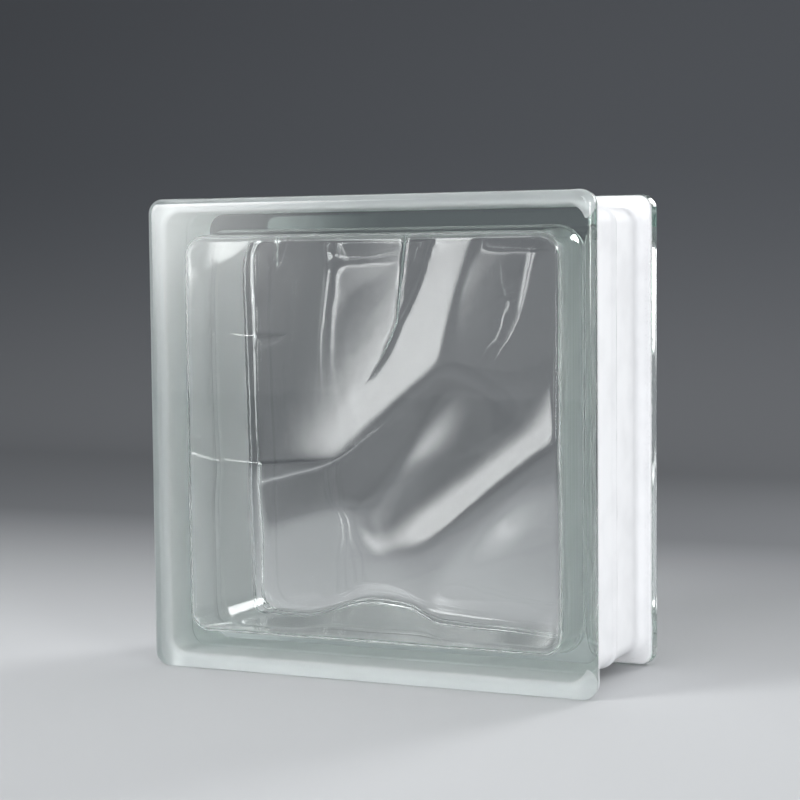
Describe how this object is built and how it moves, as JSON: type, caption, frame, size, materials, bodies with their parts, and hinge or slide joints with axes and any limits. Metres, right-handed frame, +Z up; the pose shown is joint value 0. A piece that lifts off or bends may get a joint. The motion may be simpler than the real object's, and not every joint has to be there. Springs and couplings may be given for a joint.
{
  "type": "glass block",
  "caption": "Square hollow glass block: two pressed half-shells fused at a mid seam, wavy inner faces, a flange round each face and white-coated recessed edges.",
  "frame": {"origin": "on the floor under the middle of the block, at the middle of the bounding box's bottom", "axes": "+X to the right across the front face, +Y through the depth from the front face to the rear face, +Z up"},
  "size_m": [0.19, 0.08, 0.19],
  "materials": {
    "clear_glass": "fire-polished pressed glass, faintly green in the thick rims",
    "white_coating": "sprayed matt white edge coating"
  },
  "bodies": {
    "root": {"front_half": "clear_glass", "rear_half": "clear_glass", "edge_coating": "white_coating"}
  },
  "joints": []
}
